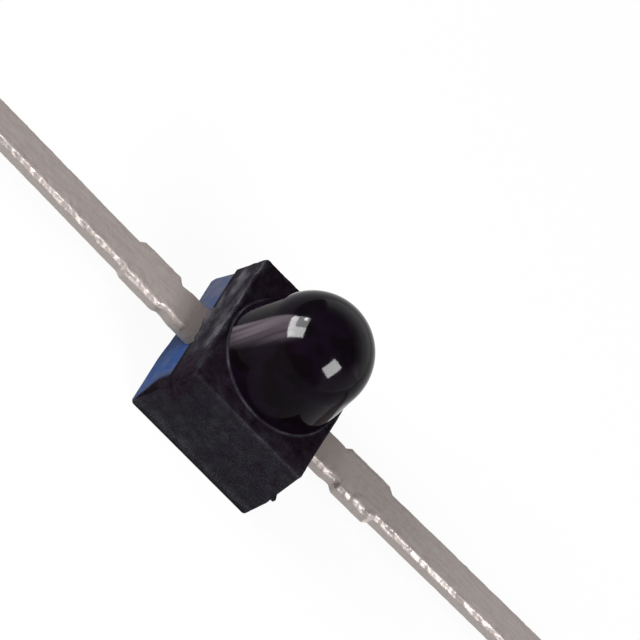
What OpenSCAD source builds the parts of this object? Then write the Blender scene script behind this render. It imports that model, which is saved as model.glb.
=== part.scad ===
// Axial-lead photodiode: a dark moulded epoxy block with a dome lens, on a two-strip lead frame.
// The origin is the centre of the block's base. +X runs along the anode lead and +Z up through the lens.

/* [Package] */
// Length of the block along the leads, at the parting line
body_l = 2.10; // [1.9:0.05:3.0]
// Width of the block across the leads, at the parting line
body_w = 2.40; // [2.1:0.05:3.4]
// Height of the lower mould half, from the base to the parting line
lower_h = 0.65; // [0.4:0.05:1.2]
// Height of the upper mould half, from the parting line to the lens platform
upper_h = 0.62; // [0.6:0.02:1.2]
// Draft of the lower half's end faces, in degrees
lower_end_draft_deg = 1; // [0:0.5:6]
// Draft of the lower half's side faces, in degrees
lower_side_draft_deg = 1.5; // [0:0.5:6]
// Draft of the upper half's end faces, in degrees
upper_end_draft_deg = 4; // [0:0.5:6]
// Draft of the upper half's side faces, in degrees
upper_side_draft_deg = 5.5; // [0:0.5:7]
// Radius of the block's upright edges
corner_r = 0.06; // [0.06:0.01:0.2]
// Radius of the edges round the base
base_edge_r = 0.03; // [0.02:0.01:0.05]
// Radius of the edges round the lens platform
platform_edge_r = 0.04; // [0.02:0.01:0.05]
// Straight land on each side of the parting line
land_h = 0.02; // [0.01:0.01:0.05]
// Radius of the stub that the moulding gate leaves on one corner
gate_r = 0.06; // [0.04:0.01:0.1]
// Height of the gate stub
gate_h = 0.1; // [0.05:0.01:0.2]

/* [Lens] */
// Diameter of the lens where it leaves the platform
lens_d = 1.85; // [1.7:0.01:1.86]
// Radius of the dome
dome_r = 0.81; // [0.7:0.01:0.84]
// Height of the whole package, from the base to the top of the dome
total_h = 2.70; // [2.4:0.05:3.4]
// Fillet between the lens and the platform
lens_fillet = 0.04; // [0.02:0.01:0.06]

/* [Leads] */
// Width of a lead outside the block
lead_w = 0.53; // [0.4:0.01:0.7]
// Thickness of a lead outside the block, with its tin
lead_t = 0.19; // [0.14:0.01:0.25]
// Length of a lead outside the block
lead_len = 12; // [6:0.5:20]
// Thickness of the tin on each face outside the block
tin_t = 0.01; // [0.005:0.005:0.02]
// Radius of the strip's long edges
lead_edge_r = 0.06; // [0.01:0.01:0.06]
// Distance from the block to the cut dam bar
dam_gap = 0.54; // [0.2:0.02:1.0]
// Length of the cut dam bar along the lead
dam_len = 0.77; // [0.4:0.01:1.2]
// How far the cut dam bar stands out on each side
dam_stub = 0.08; // [0.02:0.01:0.12]
// Length of the slope at each end of the cut dam bar
dam_slope = 0.07; // [0.02:0.01:0.15]

/* [Lead frame inside] */
// Side of the square paddle that carries the chip
paddle_side = 0.86; // [0.7:0.02:1.0]
// Gap between the paddle and the anode's post
post_gap = 0.18; // [0.12:0.01:0.2]
// Width of the post that takes the bond wire
post_w = 0.86; // [0.7:0.02:1.2]
// Length of the post along the lead
post_l = 0.24; // [0.2:0.01:0.3]

/* [Chip] */
// Side of the square silicon chip
chip_side = 0.62; // [0.5:0.02:0.66]
// Thickness of the silicon chip
chip_t = 0.25; // [0.15:0.01:0.26]
// Thickness of the conductive adhesive under the chip
glue_t = 0.02; // [0.01:0.005:0.03]
// How far the adhesive squeezes out round the chip
glue_rim = 0.04; // [0.02:0.01:0.05]

/* [Bond wire] */
// Diameter of the gold bond wire
wire_d = 0.03; // [0.025:0.005:0.04]
// Diameter of the ball bond on the chip
ball_d = 0.09; // [0.07:0.01:0.12]
// Height of the ball bond
ball_h = 0.025; // [0.02:0.005:0.04]
// Distance from the chip's edge to the centre of the ball bond
ball_inset = 0.08; // [0.07:0.01:0.12]
// Height of the wire's loop above the chip
loop_h = 0.14; // [0.1:0.01:0.15]
// Length of the flattened stitch on the post
stitch_l = 0.08; // [0.06:0.01:0.12]

/* [Hidden] */
$fn = 96;

// Facets of the rounded edges, the fillet and the bond wire
corner_fn = 32;
corner_steps = 4;
strip_steps = 3;
wire_sides = 8;
wire_steps = 16;
fillet_steps = 6;

// Levels, upwards from the base
parting_z = lower_h;
platform_z = lower_h + upper_h;
frame_t = lead_t - 2 * tin_t;
frame_top_z = parting_z + frame_t / 2;
chip_bottom_z = frame_top_z + glue_t;
chip_top_z = chip_bottom_z + chip_t;

// Places along the leads
lead_start = body_l / 2;
dam_start = lead_start + dam_gap;
dam_end = dam_start + dam_len;
frame_w = lead_w - 2 * tin_t;
post_start = paddle_side / 2 + post_gap;

// The lens's flank is the line from its foot that touches the dome
dome_z = total_h - dome_r;
foot_r = lens_d / 2;
foot_drop = dome_z - platform_z;
foot_far = sqrt(foot_r * foot_r + foot_drop * foot_drop);
flank_lean = acos(dome_r / foot_far) - atan2(foot_drop, foot_r);
touch_r = dome_r * cos(flank_lean);
touch_z = dome_z + dome_r * sin(flank_lean);
fillet_reach = lens_fillet / tan(45 + flank_lean / 2);

// Wire bond places: the ball on the chip, and the stitch on the post
ball_x = chip_side / 2 - ball_inset;
ball_top_z = chip_top_z + ball_h;
stitch_x = post_start + post_l / 2;
stitch_z = frame_top_z + wire_d / 2;

// A foot of the block: a round disc with its lower rim rounded off.
module corner_foot(rim_r) {
    rim = [for (i = [0 : corner_steps])
        let (a = 90 * i / corner_steps)
        [corner_r - rim_r + rim_r * sin(a), rim_r - rim_r * cos(a)]];
    rotate_extrude($fn = corner_fn)
        polygon(concat([[0, 0]], rim, [[0, rim_r]]));
}

// One drafted half of the block, standing on its rounded face with its parting face on top.
module mould_half(height, end_draft, side_draft, rim_r) {
    end_step = (height - land_h) * tan(end_draft);
    side_step = (height - land_h) * tan(side_draft);
    hull()
        for (sx = [-1, 1], sy = [-1, 1]) {
            x = body_l / 2 - corner_r;
            y = body_w / 2 - corner_r;
            translate([sx * x, sy * y, height - land_h])
                cylinder(r = corner_r, h = land_h, $fn = corner_fn);
            translate([sx * (x - end_step), sy * (y - side_step), 0])
                corner_foot(rim_r);
        }
}

module lower_half() {
    mould_half(lower_h, lower_end_draft_deg, lower_side_draft_deg, base_edge_r);
}

module upper_half() {
    translate([0, 0, platform_z])
        mirror([0, 0, 1])
            mould_half(upper_h, upper_end_draft_deg, upper_side_draft_deg, platform_edge_r);
}

// The lens: a concave fillet, a leaning flank and a dome that touches it.
module lens() {
    fillet = [for (i = [0 : fillet_steps])
        let (a = 270 - (90 - flank_lean) * i / fillet_steps)
        [foot_r + fillet_reach + lens_fillet * cos(a), platform_z + lens_fillet + lens_fillet * sin(a)]];
    sunk_z = platform_z - lens_fillet;
    rotate_extrude() {
        polygon(concat([[0, sunk_z], [foot_r + fillet_reach, sunk_z]], fillet, [[touch_r, touch_z], [0, touch_z]]));
        intersection() {
            translate([0, dome_z])
                circle(r = dome_r);
            translate([0, touch_z])
                square([dome_r, total_h - touch_z]);
        }
    }
}

// What is left of the moulding gate, on the front corner at the anode's end.
module gate_stub() {
    translate([body_l / 2 - corner_r / 3, -body_w / 2 + corner_r * 2 / 3, parting_z - gate_h / 2])
        cylinder(r = gate_r, h = gate_h, $fn = corner_fn);
}

// The block and its lens are moulded in one round everything that they hold.
module package() {
    color("#242127")
        difference() {
            union() {
                lower_half();
                upper_half();
                lens();
                gate_stub();
            }
            cathode_lead();
            anode_lead();
            chip();
            die_attach();
            bond_wire();
        }
}

// Section of the tinned strip, across the lead, with its long edges rounded.
module strip_section() {
    y = lead_w / 2 - lead_edge_r;
    z = lead_t / 2 - lead_edge_r;
    corners = [[y, z], [-y, z], [-y, -z], [y, -z]];
    polygon([for (k = [0 : 3], i = [0 : strip_steps])
        let (a = 90 * (k + i / strip_steps))
        corners[k] + lead_edge_r * [cos(a), sin(a)]]);
}

// The two stubs of the cut dam bar, sheared off square through the strip.
module dam_stubs() {
    half = lead_w / 2 - lead_edge_r;
    reach = lead_w / 2 + dam_stub;
    for (side = [-1, 1])
        translate([0, 0, parting_z - lead_t / 2])
            linear_extrude(lead_t)
                polygon([
                    [dam_start, side * half],
                    [dam_start, side * lead_w / 2],
                    [dam_start + dam_slope, side * reach],
                    [dam_end - dam_slope, side * reach],
                    [dam_end, side * lead_w / 2],
                    [dam_end, side * half]
                ]);
}

// The tinned strip outside the block, on the +X side, with the stubs of its dam bar.
module lead_tail() {
    translate([lead_start, 0, parting_z])
        rotate([90, 0, 90])
            linear_extrude(lead_len)
                strip_section();
    dam_stubs();
}

// A flat piece of the bare frame inside the block, from x0 to x1.
module frame_strip(x0, x1, width) {
    translate([x0, -width / 2, parting_z - frame_t / 2])
        cube([x1 - x0, width, frame_t]);
}

module cathode_lead() {
    color("#a39b95") {
        mirror([1, 0, 0])
            lead_tail();
        frame_strip(-dam_start, 0, frame_w);
        frame_strip(-paddle_side / 2, paddle_side / 2, paddle_side);
    }
}

module anode_lead() {
    color("#a39b95") {
        lead_tail();
        frame_strip(post_start, dam_start, frame_w);
        frame_strip(post_start, post_start + post_l, post_w);
    }
}

module chip() {
    color("#3a3f55")
        translate([-chip_side / 2, -chip_side / 2, chip_bottom_z])
            cube([chip_side, chip_side, chip_t]);
}

module die_attach() {
    glue_side = chip_side + 2 * glue_rim;
    color("#b9b6ae")
        translate([-glue_side / 2, -glue_side / 2, frame_top_z])
            cube([glue_side, glue_side, glue_t]);
}

// Centre line of the wire, in the plane of the leads: straight up off the ball, over, and down to the post.
loop_top_z = chip_top_z + loop_h;
wire_start = [ball_x, ball_top_z - wire_d / 2];
wire_knee = [ball_x, loop_top_z + loop_h / 2];
wire_brow = [post_start, loop_top_z];
wire_land = [stitch_x, stitch_z];
function wire_point(t) =
    pow(1 - t, 3) * wire_start + 3 * t * pow(1 - t, 2) * wire_knee
    + 3 * t * t * (1 - t) * wire_brow + pow(t, 3) * wire_land;
function wire_heading(t) =
    let (d = 3 * pow(1 - t, 2) * (wire_knee - wire_start) + 6 * t * (1 - t) * (wire_brow - wire_knee)
        + 3 * t * t * (wire_land - wire_brow))
    d / norm(d);
function wire_ring(t) =
    let (p = wire_point(t), d = wire_heading(t))
    [for (k = [0 : wire_sides - 1])
        let (a = 360 * k / wire_sides, across = wire_d / 2 * cos(a), aside = wire_d / 2 * sin(a))
        [p.x - across * d.y, aside, p.y + across * d.x]];

module wire_tube() {
    rings = [for (i = [0 : wire_steps]) wire_ring(i / wire_steps)];
    walls = [for (i = [0 : wire_steps - 1], k = [0 : wire_sides - 1])
        let (n = (k + 1) % wire_sides, a = i * wire_sides, b = a + wire_sides)
        each [[a + k, b + k, b + n], [a + k, b + n, a + n]]];
    first = [for (k = [0 : wire_sides - 1]) k];
    last = [for (k = [wire_sides - 1 : -1 : 0]) wire_steps * wire_sides + k];
    polyhedron([for (r = rings) each r], concat(walls, [first, last]));
}

module bond_wire() {
    color("#d9b253") {
        wire_tube();
        translate([ball_x, 0, chip_top_z])
            cylinder(d = ball_d, h = ball_h);
        translate([stitch_x - stitch_l / 2, -wire_d, frame_top_z])
            cube([stitch_l, 2 * wire_d, wire_d]);
    }
}

package();
cathode_lead();
anode_lead();
chip();
die_attach();
bond_wire();
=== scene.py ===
"""Looks of an axial-lead photodiode with a dome lens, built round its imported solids."""
import math

import bmesh
import bpy
from bpy.props import FloatProperty, FloatVectorProperty, IntProperty, PointerProperty
from mathutils import Matrix, Vector, noise


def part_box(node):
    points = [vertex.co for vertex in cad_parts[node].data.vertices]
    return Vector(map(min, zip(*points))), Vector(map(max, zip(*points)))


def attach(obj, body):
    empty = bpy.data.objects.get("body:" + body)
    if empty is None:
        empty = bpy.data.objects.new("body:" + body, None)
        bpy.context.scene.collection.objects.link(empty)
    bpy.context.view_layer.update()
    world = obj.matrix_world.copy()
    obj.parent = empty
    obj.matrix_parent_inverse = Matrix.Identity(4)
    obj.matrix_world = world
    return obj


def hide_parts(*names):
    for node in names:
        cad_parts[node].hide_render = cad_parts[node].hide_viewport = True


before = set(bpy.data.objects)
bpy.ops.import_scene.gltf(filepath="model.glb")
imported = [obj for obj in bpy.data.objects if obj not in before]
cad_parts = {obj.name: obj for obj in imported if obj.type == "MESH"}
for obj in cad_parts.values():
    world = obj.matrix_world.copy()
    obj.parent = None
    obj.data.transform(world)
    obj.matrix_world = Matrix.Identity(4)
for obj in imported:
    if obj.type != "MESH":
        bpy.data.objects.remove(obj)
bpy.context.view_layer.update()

bl_info = {
    "name": "Axial-lead photodiode",
    "version": (1, 0, 0),
    "blender": (4, 5, 0),
    "location": "View3D > Sidebar > Photodiode",
    "description": "Dresses the package, the leads and the inner pieces of a photodiode",
    "category": "Object",
}

MM = 0.001
PER_MM = 1000.0
PACKAGE_LOW, PACKAGE_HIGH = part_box("package")
LEAD_LOW, LEAD_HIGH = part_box("anode_lead")


def length(label, words, millimetres):
    """A size in metres whose default is given in millimetres."""
    return FloatProperty(
        name=label, description=words, default=millimetres * MM, min=0.0, precision=5, unit="LENGTH"
    )


def angle(label, words, degrees):
    """An angle whose default is given in degrees."""
    return FloatProperty(
        name=label, description=words, default=math.radians(degrees), unit="ROTATION",
        subtype="ANGLE",
    )


def colour(label, words, value):
    """A linear colour."""
    return FloatVectorProperty(
        name=label, description=words, default=value, size=3, min=0.0, max=1.0, subtype="COLOR"
    )


def direction(label, words, value):
    """A direction from the object towards a lamp."""
    return FloatVectorProperty(
        name=label, description=words, default=value, size=3, subtype="DIRECTION"
    )


def level(label, words, value):
    """A plain number."""
    return FloatProperty(name=label, description=words, default=value, min=0.0)


def dam(label, start, end, reach):
    """Start and end of a dam-bar stub from the block, and its reach, in millimetres by default."""
    return FloatVectorProperty(
        name=label, description="Start and end of the stub from the block, and its reach", size=3,
        default=(start * MM, end * MM, reach * MM), precision=5, unit="LENGTH",
    )


def span_of(label, width, height):
    """Width and height of a lamp, in millimetres by default."""
    return FloatVectorProperty(
        name=label, description="Width and height of the lamp", size=2, unit="LENGTH",
        default=(width * MM, height * MM), precision=5,
    )


class PackageSizes(bpy.types.PropertyGroup):
    """Sizes of the moulded block and its lens"""

    body_l: length("Block length", "Block along the leads", -2 * PACKAGE_LOW.x * PER_MM)
    body_w: length("Block width", "Block across the leads", 2 * PACKAGE_HIGH.y * PER_MM)
    total_h: length("Height", "Base to the top of the dome", PACKAGE_HIGH.z * PER_MM)
    parting_z: length(
        "Parting height", "Parting line above the base", (LEAD_LOW.z + LEAD_HIGH.z) / 2 * PER_MM
    )
    platform_z: length("Platform height", "Flat top of the block above the base", 1.27)
    land: length("Land", "Straight band each side of the parting line", 0.02)
    lower_end_draft: angle("Lower end draft", "Draft of the ends below the parting line", 1.0)
    lower_side_draft: angle("Lower side draft", "Draft of the sides below the parting line", 1.5)
    upper_end_draft: angle("Upper end draft", "Draft of the ends above the parting line", 4.0)
    upper_side_draft: angle("Upper side draft", "Draft of the sides above the parting line", 5.5)
    corner_r: length("Corner radius", "Upright corners of the block", 0.06)
    base_edge_r: length("Base edge radius", "Rounding round the base", 0.03)
    platform_edge_r: length("Platform edge radius", "Rounding round the platform", 0.04)
    lens_d: length("Lens foot", "Width of the lens where it meets the platform", 1.85)
    dome_r: length("Dome radius", "Radius of the dome", 0.81)
    lens_fillet: length("Lens fillet", "Fillet at the foot of the lens", 0.04)
    gate_r: length("Gate stub", "Radius of the broken gate", 0.06)
    gate_reach: length("Gate reach", "How far the broken gate stands out of its corner", 0.05)
    flash: length("Flash", "Thin ridge left at the parting line", 0.002)
    edge_lumps: length("Edge lumps", "Unevenness of the moulded edges", 0.030)
    mould_shift: length("Mould shift", "Stand-out of the lower half's near side at each end", 0.055)
    open_corner_r: length("Open corner", "Corners of the cathode's end at the parting line", 0.33)
    far_drift: length("Far drift", "Stand-out of the lower half's far side", 0.12)
    exit_creep: length("Exit creep", "Epoxy that crept along the leads where they come out", 0.05)


class LeadSizes(bpy.types.PropertyGroup):
    """Sizes of the two tinned leads"""

    width: length("Width", "Width of the strip with its tin", 0.54)
    thickness: length("Thickness", "Thickness of the strip", (LEAD_HIGH.z - LEAD_LOW.z) * PER_MM)
    start: length("Start", "End face of the block from its middle", -PACKAGE_LOW.x * PER_MM)
    tip: length("Tip", "End of the lead from the middle of the block", LEAD_HIGH.x * PER_MM)
    edge_run: length("Edge run", "Bevel of the strip's long edges, across it", 0.05)
    edge_drop: length("Edge drop", "Bevel of the strip's long edges, through it", 0.062)
    anode_back: dam("Anode back stub", 0.46, 1.33, 0.075)
    anode_front: dam("Anode front stub", 0.57, 1.30, 0.07)
    cathode_back: dam("Cathode back stub", 0.55, 1.36, 0.075)
    cathode_front: dam("Cathode front stub", 0.60, 1.37, 0.04)
    dam_slope: length("Dam slope", "Run-out at each end of a stub", 0.08)
    lump_height: length("Lump height", "Height of the tin lumps on the edges", 0.040)
    lumps_per_mm: level("Lumps per mm", "How closely the tin lumps follow each other", 8.0)
    lump_margin: length("Lump margin", "Width of the lumpy band along each edge", 0.16)
    root_flare: length("Root flare", "Extra half width of the strip close to the block", 0.025)
    bow: length("Bow", "How far each lead bows towards +Y on its way out", 0.063)
    bow_length: length("Bow length", "Length of the bowed part", 9.5)
    paddle: length("Paddle", "Side of the paddle under the chip", 0.86)
    post_start: length("Post start", "Near end of the post from the middle", 0.61)
    post_length: length("Post length", "Post along the lead", 0.24)
    tin: length("Tin", "Thickness of the tin on the strip", 0.01)
    seed: IntProperty(name="Seed", description="Pattern of the tin lumps", default=7, min=0)


class Finishes(bpy.types.PropertyGroup):
    """Colours of the pieces"""

    # Painted shade: the darkest epoxy, used in the base rim, in a line above the cathode end's
    # parting line and on its lower end face
    painted_shade: colour("Shaded rim", "Darkest epoxy, in the rims and grooves", (0.0030, 0.0025, 0.0032))
    clean: colour("Clean epoxy", "Clean moulded epoxy of the platform", (0.0112, 0.0066, 0.0118))
    filmed: colour("Filmed epoxy", "Epoxy under a pale film", (0.0170, 0.0160, 0.0205))
    mossy: colour("Greenish film", "Greenish patches in the film", (0.0140, 0.0172, 0.0172))
    # Rubbed epoxy; also the colour of the painted highlights along the platform's edges and round
    # the lens's foot
    worn: colour("Worn epoxy", "Rubbed epoxy along the edges", (0.075, 0.069, 0.080))
    lens: colour("Lens", "Polished epoxy", (0.0028, 0.0019, 0.0028))
    lens_deep: colour("Lens depth", "Deeper purple in the lens", (0.0052, 0.0027, 0.0066))
    # Painted reflection: a pale streaky band up the lens's flank
    haze: colour("Lens haze", "Pale flow lines up the lens", (0.100, 0.082, 0.097))
    mark: colour("Polarity mark", "Blue ink on the cathode's end", (0.023, 0.049, 0.138))
    mark_pale: colour("Thin ink", "Where the ink is thin or dusty", (0.072, 0.078, 0.112))
    tin: colour("Tin", "Dull tin on the leads", (0.675, 0.60, 0.57))
    # Stains in the tin, and painted shade close to the block and on the cathode's lead
    tin_stain_and_shade: colour("Stained tin", "Darker stains in the tin", (0.42, 0.36, 0.34))
    # Sides of the strip: sheared, and darker as painted shade
    tin_side_shade: colour("Sheared sides", "Sides of the strip", (0.37, 0.33, 0.31))
    silicon: colour("Silicon", "Coated face of the chip", (0.020, 0.026, 0.060))
    silicon_edge: colour("Sawn silicon", "Sawn sides of the chip", (0.16, 0.16, 0.18))
    silver: colour("Silver flake", "Flakes in the adhesive", (0.62, 0.61, 0.58))
    resin: colour("Resin", "Resin between the flakes", (0.33, 0.31, 0.27))
    gold: colour("Gold", "Drawn gold wire", (0.86, 0.60, 0.20))
    gold_dark: colour("Drawn lines", "Darker lines along the wire", (0.62, 0.40, 0.11))


class StageSettings(bpy.types.PropertyGroup):
    """Camera, lamps and floor"""

    azimuth: angle("Azimuth", "Camera's heading round the part", -22.35)
    elevation: angle("Elevation", "Camera above the horizon", 46.80)
    roll: angle("Roll", "Turn of the picture", 61.71)
    aim: FloatVectorProperty(
        name="Aim", description="Point in the middle of the picture", size=3, unit="LENGTH",
        default=(-0.0490 * MM, 0.7416 * MM, 1.5868 * MM),
    )
    view_width: length("View width", "Width of the picture at the part", 8.2955)
    camera_away: length("Camera distance", "Camera from the point it looks at", 50.0)
    side_lamp: direction("Side lamp", "Towards the lamp at the cathode", (-0.92, -0.038, 0.389))
    side_lamp_size: span_of("Side lamp size", 41.0, 32.0)
    front_lamp: direction("Front lamp", "Towards the lamp in front", (0.515, -0.506, 0.692))
    front_lamp_size: span_of("Front lamp size", 29.0, 23.0)
    front_lamp_roll: angle("Front lamp roll", "Turn of the lamp", 47.0)
    rim_lamp: direction("Rim lamp", "Towards the wide dim lamp behind the lens", (0.46, 0.82, 0.42))
    rim_lamp_size: span_of("Rim lamp size", 140.0, 53.0)
    end_lamp: direction("End lamp", "Towards the wide dim lamp at the anode", (0.86, -0.33, 0.34))
    end_lamp_size: span_of("End lamp size", 84.0, 44.0)
    lamp_away: length("Lamp distance", "Lamps from the part", 60.0)
    gleam_away: length("Gleam distance", "Gleam lamps from the part", 58.0)
    side_level: level("Side level", "Brightness of the side lamp's face", 8.5)
    front_level: level("Front level", "Brightness of the front lamp's face", 10.0)
    sky_level: level("Sky level", "Brightness of the studio above the horizon", 0.20)
    floor_half: length("Floor half width", "Half of the floor's side", 400.0)


class PhotodiodeSettings(bpy.types.PropertyGroup):
    """Everything that a user would change"""

    package: PointerProperty(type=PackageSizes)
    leads: PointerProperty(type=LeadSizes)
    finishes: PointerProperty(type=Finishes)
    stage: PointerProperty(type=StageSettings)


# Node helpers

# Stretch of the streaks along X
STREAK_DRAW = (0.12, 1.0, 1.0)


def add(tree, kind, values=None, **settings):
    """Adds a node, sets it up, and fills its inputs with sockets or plain values."""
    node = tree.nodes.new(kind)
    for name, value in settings.items():
        setattr(node, name, value)
    for place, value in (values or {}).items():
        if isinstance(value, bpy.types.NodeSocket):
            tree.links.new(value, node.inputs[place])
        else:
            node.inputs[place].default_value = value
    return node


def tint(tree, factor, *colours):
    """Mixes two colours by a mask that changes over the surface."""
    values = {0: factor}
    for number, value in enumerate(colours, 6):
        values[number] = value if isinstance(value, bpy.types.NodeSocket) else (*value, 1.0)
    return add(tree, "ShaderNodeMix", values, data_type="RGBA").outputs[2]


def span(tree, value, low, high, to_low, to_high, smooth=False):
    """Maps a value from one span to another, clamped."""
    values = dict(enumerate((value, low, high, to_low, to_high)))
    kind = "SMOOTHSTEP" if smooth else "LINEAR"
    return add(tree, "ShaderNodeMapRange", values, interpolation_type=kind).outputs[0]


def math_node(tree, operation, *values):
    """A Math node whose inputs are sockets or numbers."""
    return add(tree, "ShaderNodeMath", dict(enumerate(values)), operation=operation).outputs[0]


def times(tree, first, *others):
    """The product of sockets or numbers."""
    for other in others:
        first = math_node(tree, "MULTIPLY", first, other)
    return first


def scaled(tree, vector, factors):
    """A vector times three factors."""
    values = {0: vector, 1: factors}
    return add(tree, "ShaderNodeVectorMath", values, operation="MULTIPLY").outputs[0]


def axes(tree, vector):
    """X, Y and Z of a vector."""
    apart = add(tree, "ShaderNodeSeparateXYZ", {0: vector})
    return apart.outputs["X"], apart.outputs["Y"], apart.outputs["Z"]


def object_axes(tree, output):
    """X, Y and Z of the piece's own coordinates or normal."""
    return axes(tree, add(tree, "ShaderNodeTexCoord").outputs[output])


def surface_grain():
    """Shader group: grain, mottle and streaks along X, with their scales per millimetre."""
    name = "surface_grain"
    if name in bpy.data.node_groups:
        return bpy.data.node_groups[name]
    tree = bpy.data.node_groups.new(name, "ShaderNodeTree")
    for label in ("Grain", "Mottle", "Streak"):
        tree.interface.new_socket(label + " per mm", in_out="INPUT", socket_type="NodeSocketFloat")
        tree.interface.new_socket(label, in_out="OUTPUT", socket_type="NodeSocketFloat")
    given = add(tree, "NodeGroupInput").outputs
    in_mm = scaled(tree, add(tree, "ShaderNodeTexCoord").outputs["Object"], (PER_MM,) * 3)
    drawn = scaled(tree, in_mm, STREAK_DRAW)
    patterns = (("Grain", 3.0, in_mm), ("Mottle", 4.0, in_mm), ("Streak", 2.0, drawn))
    made = {}
    for label, detail, vector in patterns:
        values = {"Vector": vector, "Scale": given[label + " per mm"]}
        values.update({"Detail": detail, "Roughness": 0.6})
        made[label] = add(tree, "ShaderNodeTexNoise", values).outputs["Fac"]
    add(tree, "NodeGroupOutput", made)
    return tree


def material(name, **plain):
    """A material with a Principled shader whose plain sockets are set by name."""
    made = bpy.data.materials.new(name)
    made.use_nodes = True
    tree = made.node_tree
    shader = tree.nodes["Principled BSDF"]
    for socket, value in plain.items():
        shader.inputs[socket.replace("_", " ")].default_value = value
    return made, tree, shader


def grain(tree, fine, broad, streak):
    """Places the grain group in a material with its own scales."""
    scales = {"Grain per mm": fine, "Mottle per mm": broad, "Streak per mm": streak}
    made = add(tree, "ShaderNodeGroup", scales, node_tree=surface_grain()).outputs
    return made["Grain"], made["Mottle"], made["Streak"]


def surface(tree, shader, base, roughness, height, depth):
    """Links a shader's colour, its roughness and a bumped normal, whose depth is in millimetres."""
    bump = add(tree, "ShaderNodeBump", {"Strength": 1.0, "Distance": depth * MM, "Height": height})
    links = {"Base Color": base, "Roughness": roughness, "Normal": bump.outputs[0]}
    for socket, value in links.items():
        tree.links.new(value, shader.inputs[socket])


def painted(tree, name):
    """Reads a value that is painted on the piece's own mesh."""
    return add(tree, "ShaderNodeAttribute", attribute_name=name).outputs["Fac"]


# Finishes

SATIN_SPECULAR = 0.005
POLISHED_SPECULAR = 0.038


def block_finish(finishes):
    """Satin epoxy of the block, scuffed along its edges, with painted shade in its rims, painted
    highlights along its edges, and the blue mark on one end.
    """
    made, tree, shader = material("satin_epoxy", Specular_IOR_Level=SATIN_SPECULAR)
    fine, broad, streak = grain(tree, 36.0, 7.0, 11.0)
    # A painted value from painted shade through clean and filmed epoxy to rubbed epoxy and painted
    # highlights
    scuff = painted(tree, "scuff")
    for pattern, swing in ((fine, 0.11), (broad, 0.11), (streak, 0.05)):
        scuff = math_node(tree, "ADD", scuff, span(tree, pattern, 0.3, 0.7, -swing, swing))
    ramp = add(tree, "ShaderNodeValToRGB", {"Fac": scuff})
    # Painted shade at 0, and rubbed epoxy with painted highlights at 1
    stops = {0.0: finishes.painted_shade, 0.25: finishes.clean, 0.5: finishes.filmed, 1.0: finishes.worn}
    while len(ramp.color_ramp.elements) < len(stops):
        ramp.color_ramp.elements.new(0.5)
    for element, (place, value) in zip(ramp.color_ramp.elements, stops.items()):
        element.position = place
        element.color = (*value, 1.0)
    film = times(
        tree, span(tree, broad, 0.46, 0.6, 0.0, 0.4), span(tree, scuff, 0.35, 0.5, 0.0, 1.0),
        span(tree, scuff, 0.55, 0.75, 1.0, 0.0),
    )
    skin = tint(tree, film, ramp.outputs["Color"], finishes.mossy)
    across = math_node(tree, "ADD", object_axes(tree, "Object")[1], 0.4 * MM)
    thin = span(tree, math_node(tree, "ABSOLUTE", across), 0.1 * MM, 1.5 * MM, 0.0, 0.85)
    thin = math_node(tree, "ADD", thin, span(tree, broad, 0.35, 0.65, -0.25, 0.4))
    ink = tint(tree, thin, finishes.mark, finishes.mark_pale)
    base = tint(tree, painted(tree, "mark"), skin, ink)
    surface(tree, shader, base, span(tree, fine, 0.3, 0.7, 0.45, 0.62), fine, 0.004)
    return made


def lens_finish(finishes):
    """Polished purple-black epoxy of the lens, with a painted reflection up its flank."""
    made, tree, shader = material("polished_epoxy", Specular_IOR_Level=POLISHED_SPECULAR)
    fine, broad, _ = grain(tree, 16.0, 3.0, 9.0)
    deep = span(tree, broad, 0.4, 0.6, 0.0, 1.0, smooth=True)
    clear = tint(tree, deep, finishes.lens, finishes.lens_deep)
    # A painted reflection: a pale band up the lens's flank
    base = tint(tree, painted(tree, "haze"), clear, finishes.haze)
    surface(tree, shader, base, span(tree, broad, 0.35, 0.65, 0.05, 0.10), fine, 0.0004)
    return made


def tin_finish(finishes):
    """Dull tin on the leads, with stains, painted shade close to the block and on the cathode's
    lead, and its sheared sides darker as painted shade.
    """
    made, tree, shader = material("dull_tin", Metallic=0.65)
    fine, broad, streak = grain(tree, 26.0, 10.0, 24.0)
    blotches = span(tree, broad, 0.35, 0.75, 0.0, 0.45)
    stain_and_shade = math_node(tree, "ADD", blotches, span(tree, streak, 0.35, 0.7, 0.0, 0.3))
    along = object_axes(tree, "Object")[0]
    # Painted shade: darker towards -X, so the cathode's lead is darker than the anode's
    stain_and_shade = math_node(tree, "ADD", stain_and_shade, span(tree, along, -3.0 * MM, 3.0 * MM, 0.2, 0.0))
    along = math_node(tree, "ABSOLUTE", along)
    # Painted shade close to the block, where it shades the leads and darkens their reflection
    root = span(tree, along, 1.05 * MM, 2.1 * MM, 1.0, 0.0, smooth=True)
    face = tint(tree, math_node(tree, "MAXIMUM", stain_and_shade, root), finishes.tin, finishes.tin_stain_and_shade)
    # Painted shade on the strip's sheared sides
    side = math_node(tree, "ABSOLUTE", object_axes(tree, "Normal")[1])
    sheared_side_shade = span(tree, side, 0.78, 0.96, 0.0, 1.0, smooth=True)
    base = tint(tree, sheared_side_shade, face, finishes.tin_side_shade)
    surface(tree, shader, base, span(tree, broad, 0.3, 0.7, 0.42, 0.56), fine, 0.004)
    return made


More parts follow.
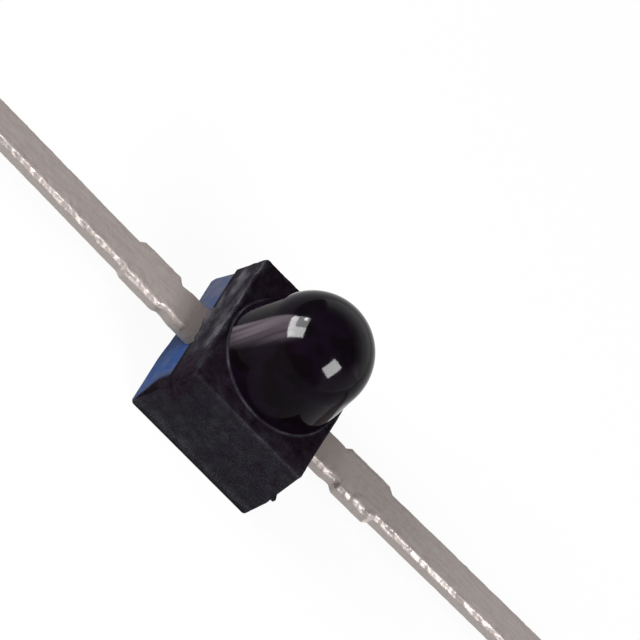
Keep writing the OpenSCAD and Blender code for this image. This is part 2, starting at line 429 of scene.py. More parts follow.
def silicon_finish(finishes):
    """Coated chip: its sawn sides are paler than its dark face."""
    made, tree, shader = material("coated_silicon", Metallic=0.35)
    fine, broad, streak = grain(tree, 60.0, 9.0, 40.0)
    mottle = span(tree, broad, 0.35, 0.65, 0.0, 0.35)
    face = tint(tree, mottle, finishes.silicon, finishes.silicon_edge)
    lines = span(tree, streak, 0.3, 0.7, 0.0, 0.6)
    sawn = tint(tree, lines, finishes.silicon_edge, finishes.silicon)
    top = span(tree, object_axes(tree, "Normal")[2], 0.4, 0.6, 0.0, 1.0)
    base = tint(tree, top, sawn, face)
    surface(tree, shader, base, span(tree, fine, 0.3, 0.7, 0.12, 0.3), fine, 0.0006)
    return made


def adhesive_finish(finishes):
    """Silver-filled adhesive under the chip."""
    made, tree, shader = material("silver_adhesive", Metallic=0.5)
    fine, broad, _ = grain(tree, 90.0, 25.0, 40.0)
    base = tint(tree, span(tree, fine, 0.4, 0.6, 0.0, 1.0), finishes.resin, finishes.silver)
    surface(tree, shader, base, span(tree, broad, 0.3, 0.7, 0.35, 0.65), fine, 0.002)
    return made


def gold_finish(finishes):
    """Drawn gold wire."""
    made, tree, shader = material("drawn_gold", Metallic=1.0)
    fine, broad, streak = grain(tree, 120.0, 30.0, 150.0)
    base = tint(tree, span(tree, streak, 0.4, 0.7, 0.0, 1.0), finishes.gold, finishes.gold_dark)
    surface(tree, shader, base, span(tree, broad, 0.3, 0.7, 0.18, 0.32), fine, 0.0005)
    return made


def show(mesh, name, materials):
    """Makes an object of a mesh, at the origin, with its materials."""
    piece = bpy.data.objects.new(name, mesh)
    for made in materials:
        mesh.materials.append(made)
    bpy.context.scene.collection.objects.link(piece)
    return piece


# The moulded package

CORNER_STEPS = 8
END_STEPS = 72
SIDE_STEPS = 64
EDGE_STEPS = 6
WALL_STEPS = 22
PLATFORM_STEPS = 5
FILLET_STEPS = 6
FLANK_STEPS = 18
DOME_STEPS = 48
# A normal whose X is below this belongs to the cathode's end
END_FACING = -0.8
# Squeeze along Y that draws the scuffs out along the end's edges
EDGE_DRAW = 0.4
# Share of the upper half's height over which its near corner opens
OPEN_RISE = 0.75
# Share of the mould shift that the anode's end has
ANODE_SHIFT = 0.55
GATE_OUT = Vector((0.8, -0.6, 0.0))


def outline(half_l, half_w, radius):
    """Points round a rounded rectangle, anticlockwise from the middle of its right-hand corner."""
    corners = ((1, 1), (-1, 1), (-1, -1), (1, -1))
    points = []
    for k, (sx, sy) in enumerate(corners):
        middle = Vector((sx * (half_l - radius), sy * (half_w - radius)))
        for i in range(CORNER_STEPS + 1):
            a = math.pi / 2 * (k + i / CORNER_STEPS)
            points.append(middle + radius * Vector((math.cos(a), math.sin(a))))
        nx, ny = corners[(k + 1) % 4]
        a = math.pi / 2 * (k + 1)
        onward = Vector((nx * (half_l - radius), ny * (half_w - radius)))
        onward += radius * Vector((math.cos(a), math.sin(a)))
        steps = SIDE_STEPS if k % 2 == 0 else END_STEPS
        last = points[-1]
        points += [last.lerp(onward, j / steps) for j in range(1, steps)]
    return points


def half_rings(s, height, end_draft, side_draft, edge_r):
    """Level, half length, half width and corner of each ring of a drafted half, from its rim."""
    straight = height - s.land
    end_step = straight * math.tan(end_draft)
    side_step = straight * math.tan(side_draft)
    half_l, half_w = s.body_l / 2, s.body_w / 2
    rings = []
    for i in range(EDGE_STEPS + 1):
        a = math.pi / 2 * i / EDGE_STEPS
        rise = edge_r * (1 - math.cos(a))
        grow = edge_r * (math.sin(a) - 1)
        rings.append((rise, half_l - end_step + grow, half_w - side_step + grow, s.corner_r + grow))
    for i in range(1, WALL_STEPS + 1):
        t = i / WALL_STEPS
        rise = edge_r + (straight - edge_r) * t
        rings.append((rise, half_l - end_step * (1 - t), half_w - side_step * (1 - t), s.corner_r))
    return rings


def block_rings(s):
    """Every ring of the block from its base to its platform."""
    rings = half_rings(s, s.parting_z, s.lower_end_draft, s.lower_side_draft, s.base_edge_r)
    upper = half_rings(
        s, s.platform_z - s.parting_z, s.upper_end_draft, s.upper_side_draft, s.platform_edge_r
    )
    half_l, half_w = s.body_l / 2, s.body_w / 2
    for rise, out in ((-0.4, 0.0), (0.0, s.flash), (0.4, 0.0)):
        rings.append((s.parting_z + rise * s.land, half_l + out, half_w + out, s.corner_r + out))
    rings += [(s.platform_z - level, *rest) for level, *rest in reversed(upper)]
    return rings


def lens_profile(s):
    """Radius and height up the lens: fillet, leaning flank and dome, without the apex."""
    foot_r = s.lens_d / 2
    dome_z = s.total_h - s.dome_r
    drop = dome_z - s.platform_z
    lean = math.acos(s.dome_r / math.hypot(foot_r, drop)) - math.atan2(drop, foot_r)
    reach = s.lens_fillet / math.tan(math.pi / 4 + lean / 2)
    profile = []
    for i in range(FILLET_STEPS + 1):
        a = math.pi * 1.5 - (math.pi / 2 - lean) * i / FILLET_STEPS
        radius = foot_r + reach + s.lens_fillet * math.cos(a)
        profile.append((radius, s.platform_z + s.lens_fillet * (1 + math.sin(a))))
    start = Vector(profile[-1])
    touch = Vector((s.dome_r * math.cos(lean), dome_z + s.dome_r * math.sin(lean)))
    profile += [tuple(start.lerp(touch, i / FLANK_STEPS)) for i in range(1, FLANK_STEPS)]
    for i in range(DOME_STEPS):
        a = lean + (math.pi / 2 - lean) * i / DOME_STEPS
        profile.append((s.dome_r * math.cos(a), dome_z + s.dome_r * math.sin(a)))
    return profile


def smooth(value, low, high):
    """0 below low, 1 above high, with a soft step between."""
    t = min(max((value - low) / (high - low), 0.0), 1.0)
    return t * t * (3 - 2 * t)


def lumps(point, per_mm):
    """Soft unevenness between about -1 and 1 at a point."""
    return noise.fractal(point * (per_mm * PER_MM), 1.0, 2.0, 2)


def moulded_package(s):
    """The block and its lens as one closed mesh, with its scuffs, its mark, painted shade, painted
    highlights and a painted reflection on it.
    """
    bm = bmesh.new()
    scuff = bm.verts.layers.float.new("scuff")
    mark = bm.verts.layers.float.new("mark")
    haze = bm.verts.layers.float.new("haze")
    rings = []
    for z, half_l, half_w, radius in block_rings(s):
        rings.append([bm.verts.new((*p, z)) for p in outline(half_l, half_w, radius)])
    rim = [vert.co.copy() for vert in rings[-1]]
    headings = [math.atan2(p.y, p.x) for p in rim]
    profile = lens_profile(s)
    foot_r = profile[0][0]
    foot = [Vector((foot_r * math.cos(a), foot_r * math.sin(a), s.platform_z)) for a in headings]
    for i in range(1, PLATFORM_STEPS):
        rings.append([bm.verts.new(p.lerp(q, i / PLATFORM_STEPS)) for p, q in zip(rim, foot)])
    lens_start = len(rings)
    for radius, z in profile:
        circle = [(radius * math.cos(a), radius * math.sin(a), z) for a in headings]
        rings.append([bm.verts.new(p) for p in circle])
    apex = bm.verts.new((0, 0, s.total_h))
    count = len(headings)
    bm.faces.new(list(reversed(rings[0])))
    for number, (low, high) in enumerate(zip(rings, rings[1:])):
        for i in range(count):
            n = (i + 1) % count
            face = bm.faces.new((low[i], low[n], high[n], high[i]))
            face.material_index = int(number >= lens_start + FILLET_STEPS)
    for i in range(count):
        face = bm.faces.new((rings[-1][i], rings[-1][(i + 1) % count], apex))
        face.material_index = 1
    bm.normal_update()
    # Painted highlight: a light ring along the fillet at the lens's foot
    for i, ring in enumerate(rings[lens_start:lens_start + FILLET_STEPS + 1]):
        crest = math.sin(math.pi * i / FILLET_STEPS)
        for vert in ring:
            vert[scuff] = 0.2 + crest * (0.42 + 0.2 * lumps(vert.co, 4.0))
    # Painted reflection: a pale streaky band up the lens's flank
    for ring in rings[lens_start + FILLET_STEPS:]:
        for vert in ring:
            vert[haze] = reflection_streaks(vert.co, s)
    weather_block([vert for ring in rings[:lens_start] for vert in ring], scuff, mark, s)
    for face in bm.faces:
        face.smooth = len(face.verts) < 5
    mesh = bpy.data.meshes.new("package_epoxy")
    bm.to_mesh(mesh)
    bm.free()
    return mesh


def reflection_streaks(p, s):
    """How pale the lens is painted at a point: a streaky painted reflection that runs up it from
    the cathode's end.
    """
    heading = math.degrees(math.atan2(-p.y, -p.x))
    rise = (p.z - s.platform_z) / (s.total_h - s.platform_z)
    first = 10 + 5.5 * rise
    last = 29 + 20 * rise
    band = smooth(heading, first - 1.5, first + 1.5) * (1 - smooth(heading, last - 10, last + 4))
    uneven = lumps(Vector((heading * 0.3, rise, 0)) * MM, 1.0)
    bright = 0.55 + 0.5 * (1 - smooth(heading, first, first + 6)) + 0.5 * uneven
    return max(0.0, band * bright * (1 - smooth(rise, 0.70, 0.80)))


def along_edge(p):
    """A point squeezed along Y, for a pattern that is drawn out."""
    return Vector((p.x, EDGE_DRAW * p.y, p.z))


def opened_corner(p, s):
    """A point moved in to the rounding of the cathode end's corners, widest at the parting line."""
    if p.z < s.parting_z - 0.2 * s.land:
        share = p.z / s.parting_z
    elif p.y < 0:
        share = 1 - (p.z - s.parting_z) / (OPEN_RISE * (s.platform_z - s.parting_z))
    else:
        share = 0.0
    radius = s.corner_r + (s.open_corner_r - s.corner_r) * share
    middle = Vector((radius - s.body_l / 2, math.copysign(s.body_w / 2 - radius, p.y)))
    arm = Vector((p.x, p.y)) - middle
    if share <= 0 or arm.x > 0 or arm.y * p.y < 0 or arm.length <= radius:
        return p.copy()
    return Vector((*(middle + arm.normalized() * radius), p.z))


def edge_rub_and_highlight(p, s):
    """How rubbed and lit the platform's edge is painted at a point: a rubbed band with a painted
    highlight on the cathode's end, and a painted highlight line elsewhere.
    """
    half_l, half_w = s.body_l / 2, s.body_w / 2
    level = smooth(p.z, s.platform_z - 0.09 * MM, s.platform_z - 0.03 * MM)
    end = smooth(-p.x, 0.80 * half_l, 0.88 * half_l)
    rim = smooth(max(abs(p.x) - half_l, abs(p.y) - half_w), -0.13 * MM, -0.10 * MM)
    # A painted highlight line along the other edges
    side = 0.2 * smooth(p.x, -0.9 * half_l, -0.6 * half_l)
    ends = 1 - 0.35 * smooth(abs(p.y), 0.7 * half_w, 0.95 * half_w)
    return level * rim * max(end * ends, side)


def wall_film(p, normal, s):
    """Film on the block's walls and platform before its edges are rubbed, with painted shade at the
    base rim, above the parting line of the cathode's end and on that end's lower face.
    """
    if p.z > s.platform_z - 0.01 * MM:
        return 0.27 + 0.16 * lumps(p, 3.5) + 0.10 * lumps(p, 9.0)
    half_w = s.body_w / 2
    if normal.x < END_FACING and p.z > s.parting_z:
        # The cathode's upper end: rough, and darker towards its near side
        rough = 0.35 * lumps(along_edge(p), 5.0) + 0.2 * lumps(along_edge(p), 13.0)
        film = 0.08 + 0.10 * smooth(p.y, -half_w + 0.1 * MM, -half_w + 0.35 * MM)
        film += 0.15 * max(rough, 0.0)
        film += (0.36 + rough) * smooth(p.y, -half_w + 0.2 * MM, -half_w + 0.9 * MM)
        # Painted shadow: a dark line just above the parting line
        return film - 0.45 * (1 - smooth(p.z, s.parting_z + 0.03 * MM, s.parting_z + 0.06 * MM))
    # The other walls: painted shade darkens them at the base rim
    film = 0.49 - 0.06 * p.x / s.body_l - 0.45 * (1 - smooth(p.z, 0.01 * MM, 0.05 * MM))
    # Painted shade on the cathode's lower end face
    if normal.x < END_FACING:
        return film - 0.40
    # Darker higher up towards the cathode's end and close to that end, and lighter in a band just
    # above the base
    film -= 0.15 * smooth(p.z, 0.3 * MM, 0.75 * MM) * (1 - smooth(p.x, -s.body_l / 2, 0.0))
    film -= 0.10 * (1 - smooth(p.x, -0.47 * s.body_l, -0.35 * s.body_l))
    streak = smooth(p.z, 0.06 * MM, 0.13 * MM) * (1 - smooth(p.z, 0.16 * MM, 0.26 * MM))
    return film + 0.10 * streak


def ink_cover(p, s):
    """Ink over a point: the cathode's end below the parting line, worn at its near corner."""
    half_w = s.body_w / 2
    flat = smooth(-p.x, s.body_l / 2 - 0.045 * MM, s.body_l / 2 - 0.02 * MM)
    low = 1 - smooth(p.z, s.parting_z - 0.025 * MM, s.parting_z)
    near = -half_w - 0.02 * MM + 0.31 * p.z / s.parting_z * MM
    ends = smooth(p.y, near, near + 0.05 * MM) * (1 - smooth(p.y, half_w - 0.06 * MM, half_w))
    worn = smooth(p.y, near, near + 0.2 * MM)
    return flat * low * ends * smooth(p.z, 0.0, 0.03 * MM) * (0.65 + 0.35 * worn)


def weather_block(verts, scuff, mark, s):
    """Makes the block uneven, raises its gate stub and its creep at the leads, and paints it."""
    gate = Vector((s.body_l / 2 - s.corner_r / 3, -s.body_w / 2 + s.corner_r * 2 / 3, s.parting_z))
    moves = []
    for vert in verts:
        p = vert.co.copy()
        rub_and_highlight = edge_rub_and_highlight(p, s)
        uneven = 0.03 + rub_and_highlight
        if vert.normal.x < END_FACING and p.z > s.parting_z:
            uneven += 0.5 * smooth(p.z, s.parting_z, s.platform_z)
        bulge = lumps(p, 4.5) + 0.5 * lumps(p, 11.0)
        place = opened_corner(p, s) + vert.normal * (s.edge_lumps * uneven * bulge)
        if p.z < s.parting_z - 0.2 * s.land:
            place.y += s.far_drift * smooth(p.y, 0.2 * s.body_w, 0.5 * s.body_w)
        askew = smooth(-p.y, -0.5 * MM, 0.4 * MM)
        askew *= 1 - smooth(p.z, s.parting_z - 0.2 * MM, s.parting_z)
        share = 1.0 if p.x < 0 else ANODE_SHIFT
        askew *= smooth(abs(p.x), 0.1 * s.body_l, 0.5 * s.body_l) * share
        place.x += math.copysign(s.mould_shift * askew, p.x)
        near = 1 - smooth((p - gate).length, 0.45 * s.gate_r, 0.9 * s.gate_r)
        place += GATE_OUT * (s.gate_reach * near)
        creep = 0.0
        if abs(p.x) > 0.9 * s.body_l / 2:
            creep = 1 - smooth(abs(p.y), 0.25 * MM, 0.34 * MM)
            creep *= smooth(p.z, LEAD_HIGH.z - 0.03 * MM, LEAD_HIGH.z + 0.01 * MM)
            creep *= 1 - smooth(p.z, LEAD_HIGH.z + 0.04 * MM, LEAD_HIGH.z + 0.13 * MM)
            if p.x < 0:
                creep *= 0.7 + 1.2 * smooth(p.y, -0.1 * MM, 0.25 * MM)
            place.x += math.copysign(s.exit_creep * creep * (0.8 + 0.9 * lumps(p, 7.0)), p.x)
        moves.append((vert, place))
        # Rubbed edges are painted lighter, as worn epoxy and painted highlights
        drawn = along_edge(p)
        patchy = 0.55 * lumps(drawn + Vector((MM, 0, 0)), 6.0) + 0.2 * lumps(drawn, 14.0)
        value = wall_film(p, vert.normal, s) + rub_and_highlight * (0.38 + patchy)
        if p.x < 0:
            value = max(value, 0.75 * creep)
        vert[scuff] = min(1.0, max(0.0, value))
        vert[mark] = ink_cover(p, s)
    for vert, place in moves:
        vert.co = place


class PHOTODIODE_OT_mould_package(bpy.types.Operator):
    """Mould the dark epoxy block and its dome lens in one piece"""

    bl_idname = "photodiode.mould_package"
    bl_label = "Mould package"

    def execute(self, context):
        settings = context.scene.photodiode
        finishes = settings.finishes
        materials = [block_finish(finishes), lens_finish(finishes)]
        piece = show(moulded_package(settings.package), "package_epoxy", materials)
        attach(piece, "root")
        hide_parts("package")
        return {"FINISHED"}


# The tinned leads

STRIP_STEP = 0.016
SECTION_STEP = 0.02
BURIED = 0.05
# Bevel of the strip's under edges as a share of that of its upper edges
SHARP_SHARE = 0.1
SHARP_ANGLE = 50
SEED_STEP = 13
# Scale of the lumps along, across and through the strip
LUMP_DRAW = (PER_MM, 0.8 * PER_MM, 0.8 * PER_MM)
# Share of the lumps' height on the strip's faces
LEAST_LUMPS = 0.04
STRIP_INPUTS = (
    "Length", "Width", "Thickness", "Edge run", "Edge drop", "Step",
    "Left stub start", "Left stub end", "Left stub reach",
    "Right stub start", "Right stub end", "Right stub reach", "Stub slope",
    "Lump height", "Lumps per mm", "Lump margin", "Rough side", "Seed",
)


def tinned_strip():
    """Geometry Nodes: a strip along +X with its dam-bar stubs and lumps of tin along its edges."""
    tree = bpy.data.node_groups.new("tinned_strip", "GeometryNodeTree")
    for label in STRIP_INPUTS:
        tree.interface.new_socket(label, in_out="INPUT", socket_type="NodeSocketFloat")
    tree.interface.new_socket("Material", in_out="INPUT", socket_type="NodeSocketMaterial")
    tree.interface.new_socket("Geometry", in_out="OUTPUT", socket_type="NodeSocketGeometry")
    given = add(tree, "NodeGroupInput").outputs
    place = add(tree, "GeometryNodeInputPosition").outputs[0]
    along, across, up = axes(tree, place)

    def put(kind, values=None, **settings):
        return add(tree, kind, values, **settings).outputs[0]

    def calc(operation, *values):
        return math_node(tree, operation, *values)

    def stub(side):
        start, end = given[side + " stub start"], given[side + " stub end"]
        rise = span(tree, along, start, calc("ADD", start, given["Stub slope"]), 0.0, 1.0)
        fall = span(tree, along, calc("SUBTRACT", end, given["Stub slope"]), end, 1.0, 0.0)
        return times(tree, rise, fall, given[side + " stub reach"])

    # The bevelled section, whose own +Y is the under side, swept along the strip
    far = put("ShaderNodeCombineXYZ", {"X": given["Length"]})
    path = put("GeometryNodeCurvePrimitiveLine", {"End": far}, mode="POINTS")
    path = put("GeometryNodeResampleCurve", {"Curve": path, "Length": given["Step"]}, mode="LENGTH")
    squeeze = calc("DIVIDE", given["Edge drop"], given["Edge run"])
    sides = {"Width": calc("MULTIPLY", given["Width"], squeeze), "Height": given["Thickness"]}
    section = put("GeometryNodeCurvePrimitiveQuadrilateral", sides, mode="RECTANGLE")
    under = calc("MULTIPLY", calc("SIGN", axes(tree, place)[1]), (SHARP_SHARE - 1) / 2)
    rolled = calc("ADD", under, (SHARP_SHARE + 1) / 2)
    bevel = {"Curve": section, "Count": 1, "Radius": calc("MULTIPLY", rolled, given["Edge drop"])}
    section = put("GeometryNodeFilletCurve", bevel, mode="POLY")
    widen = put("ShaderNodeCombineXYZ", {"X": calc("DIVIDE", 1.0, squeeze), "Y": 1.0, "Z": 1.0})
    section = put("GeometryNodeTransform", {"Geometry": section, "Scale": widen})
    finer = {"Curve": section, "Length": SECTION_STEP * MM}
    section = put("GeometryNodeResampleCurve", finer, mode="LENGTH")
    swept = {"Curve": path, "Profile Curve": section, "Fill Caps": True}
    strip = put("GeometryNodeCurveToMesh", swept)

    # The stubs, pushed out of its sides
    from_middle = calc("ABSOLUTE", across)
    half = calc("MULTIPLY", given["Width"], 0.5)
    inner = calc("SUBTRACT", half, calc("MULTIPLY", given["Edge run"], 2.0))
    outer = span(tree, from_middle, inner, calc("SUBTRACT", half, given["Edge run"]), 0.0, 1.0)
    stubs = {0: calc("GREATER_THAN", across, 0.0), 2: stub("Right"), 3: stub("Left")}
    reach = put("ShaderNodeMix", stubs, data_type="FLOAT")
    sideways = put("ShaderNodeCombineXYZ", {"Y": times(tree, reach, outer, calc("SIGN", across))})
    strip = put("GeometryNodeSetPosition", {"Geometry": strip, "Offset": sideways})

    # The lumps of tin, most on its rough upper edge and few close to the block
    in_mm = scaled(tree, place, LUMP_DRAW)
    shifted = put("ShaderNodeVectorMath", {0: in_mm, 1: given["Seed"]}, operation="ADD")
    values = {"Vector": shifted, "Scale": given["Lumps per mm"], "Detail": 2.0, "Roughness": 0.55}
    pattern = add(tree, "ShaderNodeTexNoise", values).outputs["Fac"]
    swing = calc("MULTIPLY", calc("SUBTRACT", pattern, 0.5), 2.0)
    margin = calc("SUBTRACT", half, given["Lump margin"])
    rough = calc("MULTIPLY", across, given["Rough side"])
    band = times(
        tree, span(tree, from_middle, margin, half, 0.0, 1.0),
        span(tree, rough, -0.05 * MM, 0.05 * MM, 0.3, 1.0),
        span(tree, along, 0.2 * MM, 0.5 * MM, 0.15, 1.0),
        span(tree, up, 0.0, 0.06 * MM, 0.1, 1.0),
    )
    depth = times(tree, swing, calc("ADD", band, LEAST_LUMPS), given["Lump height"])
    normal = put("GeometryNodeInputNormal")
    outward = put("ShaderNodeVectorMath", {0: normal, "Scale": depth}, operation="SCALE")
    strip = put("GeometryNodeSetPosition", {"Geometry": strip, "Offset": outward})

    strip = put("GeometryNodeSetShadeSmooth", {"Geometry": strip})
    strip = put("GeometryNodeRealizeInstances", {"Geometry": strip})
    strip = put("GeometryNodeSetMaterial", {"Geometry": strip, "Material": given["Material"]})
    add(tree, "NodeGroupOutput", {"Geometry": strip})
    return tree


def strip_mesh(tree, s, tin, seed, rough, left, right):
    """Runs the strip's tree and returns its mesh, along +X from the point where it is buried."""
    carrier = bpy.data.objects.new("strip", bpy.data.meshes.new("strip"))
    bpy.context.scene.collection.objects.link(carrier)
    modifier = carrier.modifiers.new("tinned strip", "NODES")
    modifier.node_group = tree
    buried = BURIED * MM
    values = {
        "Length": s.tip - s.start + buried, "Width": s.width, "Thickness": s.thickness,
        "Edge run": s.edge_run, "Edge drop": s.edge_drop, "Step": STRIP_STEP * MM,
        "Stub slope": s.dam_slope, "Lump height": s.lump_height, "Lumps per mm": s.lumps_per_mm,
        "Lump margin": s.lump_margin, "Rough side": rough, "Seed": float(seed), "Material": tin,
    }
    for side, (first, last, reach) in (("Left", left), ("Right", right)):
        values[side + " stub start"] = first + buried
        values[side + " stub end"] = last + buried
        values[side + " stub reach"] = reach
    for item in tree.interface.items_tree:
        if item.in_out == "INPUT":
            modifier[item.identifier] = values[item.name]
    evaluated = carrier.evaluated_get(bpy.context.evaluated_depsgraph_get())
    mesh = bpy.data.meshes.new_from_object(evaluated)
    bpy.data.objects.remove(carrier)
    return mesh


def frame_plate(bm, points, low, high):
    """A flat closed plate of the bare frame, from an outline seen from above."""
    bottom = [bm.verts.new((x, y, low)) for x, y in points]
    top = [bm.verts.new((x, y, high)) for x, y in points]
    bm.faces.new(list(reversed(bottom)))
    bm.faces.new(top)
    for i in range(len(points)):
        n = (i + 1) % len(points)
        bm.faces.new((bottom[i], bottom[n], top[n], top[i]))


def stepped_outline(x0, x1, x2, wide, narrow):
    """Outline of a wide pad from x0 to x1 and a narrow strip on to x2, anticlockwise."""
    near = [(x0, -wide), (x1, -wide), (x1, -narrow), (x2, -narrow)]
    return near + [(x, -y) for x, y in reversed(near)]


def lead_mesh(name, strip, inner, parting_z, s, turned):
    """One lead: its strip outside the block and its bare frame inside it."""
    bm = bmesh.new()
    bm.from_mesh(strip)
    if bm.calc_volume(signed=True) < 0:
        bmesh.ops.reverse_faces(bm, faces=bm.faces)
    bm.transform(Matrix.Translation((s.start - BURIED * MM, 0, parting_z)))
    bow = -s.bow if turned else s.bow
    for vert in bm.verts:
        out = min(max(vert.co.x - s.start, 0.0), s.bow_length)
        vert.co.y *= 1 + 2 * s.root_flare / s.width * (1 - smooth(out, 0.35 * MM, 0.55 * MM))
        vert.co.y += bow * math.sin(math.pi * out / s.bow_length) ** 2
    half_t = s.thickness / 2 - s.tin
    frame_plate(bm, inner, parting_z - half_t, parting_z + half_t)
    if turned:
        bm.transform(Matrix.Rotation(math.pi, 4, "Z"))
    mesh = bpy.data.meshes.new(name)
    bm.to_mesh(mesh)
    bm.free()
    mesh.set_sharp_from_angle(angle=math.radians(SHARP_ANGLE))
    return mesh


class PHOTODIODE_OT_tin_leads(bpy.types.Operator):
    """Draw the two flat tinned leads with their dam-bar stubs and inner frame"""

    bl_idname = "photodiode.tin_leads"
    bl_label = "Tin leads"

    def execute(self, context):
        settings = context.scene.photodiode
        s = settings.leads
        tin = tin_finish(settings.finishes)
        tree = tinned_strip()
        joint = s.start - 0.2 * BURIED * MM
        narrow = s.width / 2 - s.tin
        wide = s.paddle / 2
        post_end = s.post_start + s.post_length
        inner = {
            "cathode_lead": stepped_outline(-wide, wide, joint, wide, narrow),
            "anode_lead": stepped_outline(s.post_start, post_end, joint, wide, narrow),
        }
        stubs = {
            "cathode_lead": (s.cathode_front, s.cathode_back),
            "anode_lead": (s.anode_back, s.anode_front),
        }
        for number, node in enumerate(inner):
            turned = node == "cathode_lead"
            seed = s.seed + SEED_STEP * number
            strip = strip_mesh(tree, s, tin, seed, 1.0 if turned else -1.0, *stubs[node])
            name = node + "_tin"
            mesh = lead_mesh(name, strip, inner[node], settings.package.parting_z, s, turned)
            piece = show(mesh, name, [tin])
            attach(piece, "root")
            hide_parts(node)
        return {"FINISHED"}


class PHOTODIODE_OT_finish_inner(bpy.types.Operator):
    """Give the chip, its adhesive and the bond wire their finishes"""

    bl_idname = "photodiode.finish_inner"
    bl_label = "Finish inner pieces"

    def execute(self, context):
        finishes = context.scene.photodiode.finishes
        made = {
            "chip": silicon_finish(finishes),
            "die_attach": adhesive_finish(finishes),
            "bond_wire": gold_finish(finishes),
        }
        for node, finish in made.items():
            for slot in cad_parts[node].material_slots:
                slot.material = finish
        return {"FINISHED"}


# The stage

FLOOR_GREY = 0.9
# Share of plain white in the floor to the camera and in reflections; the rest keeps the shadow
FLOOR_WHITE = 0.93
# Power of a lamp for each unit of its face's area and brightness
LAMP_POWER = 4.0


def floor_finish():
    """White floor that keeps a soft shadow."""
    made = bpy.data.materials.new("white_floor")
    made.use_nodes = True
    tree = made.node_tree
    tree.nodes.clear()
    plain = add(tree, "ShaderNodeBsdfDiffuse", {"Color": (*(FLOOR_GREY,) * 3, 1.0)})
    white = add(tree, "ShaderNodeEmission", {"Strength": 1.0})
    path = add(tree, "ShaderNodeLightPath").outputs
    rays = math_node(tree, "MAXIMUM", path["Is Camera Ray"], path["Is Glossy Ray"])
    rays = math_node(tree, "MAXIMUM", rays, path["Is Transmission Ray"])
    shades = {0: times(tree, rays, FLOOR_WHITE), 1: plain.outputs[0], 2: white.outputs[0]}
    seen = add(tree, "ShaderNodeMixShader", shades)
    add(tree, "ShaderNodeOutputMaterial", {"Surface": seen.outputs[0]})
    return made


def studio_world(sky_level):
    """Dim studio above the horizon, and the floor's white below it."""
    world = bpy.data.worlds.new("studio")
    world.use_nodes = True
    tree = world.node_tree
    tree.nodes.clear()
    above = span(tree, object_axes(tree, "Generated")[2], 0.0, 0.02, 0.0, 1.0)
    sky = tint(tree, above, (1.0, 1.0, 1.0), (sky_level,) * 3)
    light = add(tree, "ShaderNodeBackground", {"Color": sky, "Strength": 1.0})
    add(tree, "ShaderNodeOutputWorld", {"Surface": light.outputs[0]})
    return world


def lamp(name, towards, away, size, roll, radiance, middle=(0.0, 0.0)):
    """A soft lamp that faces the part. Its power follows from the brightness of its face."""
    data = bpy.data.lights.new(name, "AREA")
    data.shape = "RECTANGLE"
    data.size, data.size_y = size
    data.energy = radiance * LAMP_POWER * data.size * data.size_y
    made = bpy.data.objects.new(name, data)
    bpy.context.scene.collection.objects.link(made)
    back = Vector(towards).normalized()
    turn = back.to_track_quat("Z", "Y").to_matrix() @ Matrix.Rotation(roll, 3, "Z")
    shift = turn @ Vector((*middle, 0.0))
    made.matrix_world = Matrix.Translation(back * away + shift) @ turn.to_4x4()
    made.visible_camera = False
    return made


# Panes of each lamp that light only the epoxy's gloss: middle and size as shares of the lamp, and
# brightness
PANES = {
    "side": (
        (0.0, -0.31, 1.0, 0.38, 104.0), (0.26, 0.19, 0.48, 0.62, 99.0),
        (-0.24, 0.19, 0.52, 0.62, 30.0), (-0.40, 0.28, 0.16, 0.18, 146.0),
    ),
    "front": ((0.0, 0.0, 1.0, 1.0, 80.0),),
    "rim": (
        (0.0, 0.0, 1.0, 1.0, 0.5), (0.0, -0.11, 0.94, 0.78, 0.5), (0.0, -0.12, 0.88, 0.47, 0.5),
    ),
    "end": ((0.0, 0.0, 1.0, 1.0, 0.4), (0.0, -0.08, 0.9, 0.8, 0.4), (0.0, -0.16, 0.8, 0.6, 0.5)),
}


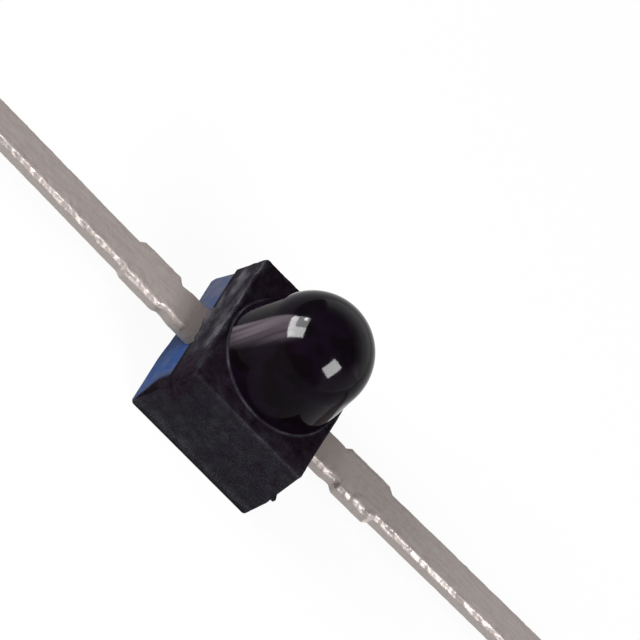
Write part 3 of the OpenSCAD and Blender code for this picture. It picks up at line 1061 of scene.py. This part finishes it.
class PHOTODIODE_OT_set_stage(bpy.types.Operator):
    """Set the floor, the lamps, the surroundings and the camera"""

    bl_idname = "photodiode.set_stage"
    bl_label = "Set stage"

    def execute(self, context):
        scene = context.scene
        s = scene.photodiode.stage
        bm = bmesh.new()
        bmesh.ops.create_grid(bm, x_segments=8, y_segments=8, size=s.floor_half)
        mesh = bpy.data.meshes.new("floor")
        bm.to_mesh(mesh)
        bm.free()
        show(mesh, "floor", [floor_finish()])
        epoxy = bpy.data.collections.new("epoxy")
        epoxy.objects.link(bpy.data.objects["package_epoxy"])
        for place, panes in PANES.items():
            towards = getattr(s, place + "_lamp")
            wide, tall = getattr(s, place + "_lamp_size")
            roll = getattr(s, place + "_lamp_roll", 0.0)
            plain = getattr(s, place + "_level", None)
            if plain is not None:
                lamp(place + "_lamp", towards, s.lamp_away, (wide, tall), roll, plain)
            for number, (x, y, w, h, radiance) in enumerate(panes):
                away = s.gleam_away - number * MM
                gleam = lamp(
                    place + "_gleam", towards, away, (w * wide, h * tall), roll, radiance,
                    (x * wide, y * tall),
                )
                gleam.visible_diffuse = False
                gleam.light_linking.receiver_collection = epoxy
        scene.world = studio_world(s.sky_level)
        scene.view_settings.view_transform = "Standard"
        data = bpy.data.cameras.new("camera")
        data.type = "ORTHO"
        data.ortho_scale = s.view_width
        data.clip_start = MM
        data.clip_end = 1.0
        camera = bpy.data.objects.new("camera", data)
        scene.collection.objects.link(camera)
        level = math.cos(s.elevation)
        rise = math.sin(s.elevation)
        back = Vector((math.sin(s.azimuth) * level, -math.cos(s.azimuth) * level, rise))
        turn = (-back).to_track_quat("-Z", "Y").to_matrix() @ Matrix.Rotation(s.roll, 3, "Z")
        middle = Vector(s.aim) + back * s.camera_away
        camera.matrix_world = Matrix.Translation(middle) @ turn.to_4x4()
        scene.camera = camera
        return {"FINISHED"}


class PHOTODIODE_PT_panel(bpy.types.Panel):
    """Lists the steps and their settings"""

    bl_label = "Photodiode"
    bl_idname = "PHOTODIODE_PT_panel"
    bl_space_type = "VIEW_3D"
    bl_region_type = "UI"
    bl_category = "Photodiode"

    def draw(self, context):
        settings = context.scene.photodiode
        for operator, group in STEPS:
            self.layout.operator(operator.bl_idname)
            column = self.layout.column(align=True)
            values = getattr(settings, group)
            for name in values.__annotations__:
                column.prop(values, name)


STEPS = (
    (PHOTODIODE_OT_mould_package, "package"),
    (PHOTODIODE_OT_tin_leads, "leads"),
    (PHOTODIODE_OT_finish_inner, "finishes"),
    (PHOTODIODE_OT_set_stage, "stage"),
)
CLASSES = (
    PackageSizes, LeadSizes, Finishes, StageSettings, PhotodiodeSettings,
    *(operator for operator, group in STEPS), PHOTODIODE_PT_panel,
)


def register():
    """Registers the classes and the scene's settings."""
    for made in CLASSES:
        bpy.utils.register_class(made)
    bpy.types.Scene.photodiode = PointerProperty(type=PhotodiodeSettings)


def unregister():
    """Takes the settings and the classes away again."""
    del bpy.types.Scene.photodiode
    for made in reversed(CLASSES):
        bpy.utils.unregister_class(made)


def main():
    """Builds the pieces and the stage."""
    register()
    bpy.ops.photodiode.mould_package()
    bpy.ops.photodiode.tin_leads()
    bpy.ops.photodiode.finish_inner()
    bpy.ops.photodiode.set_stage()


if __name__ == "__main__":
    main()
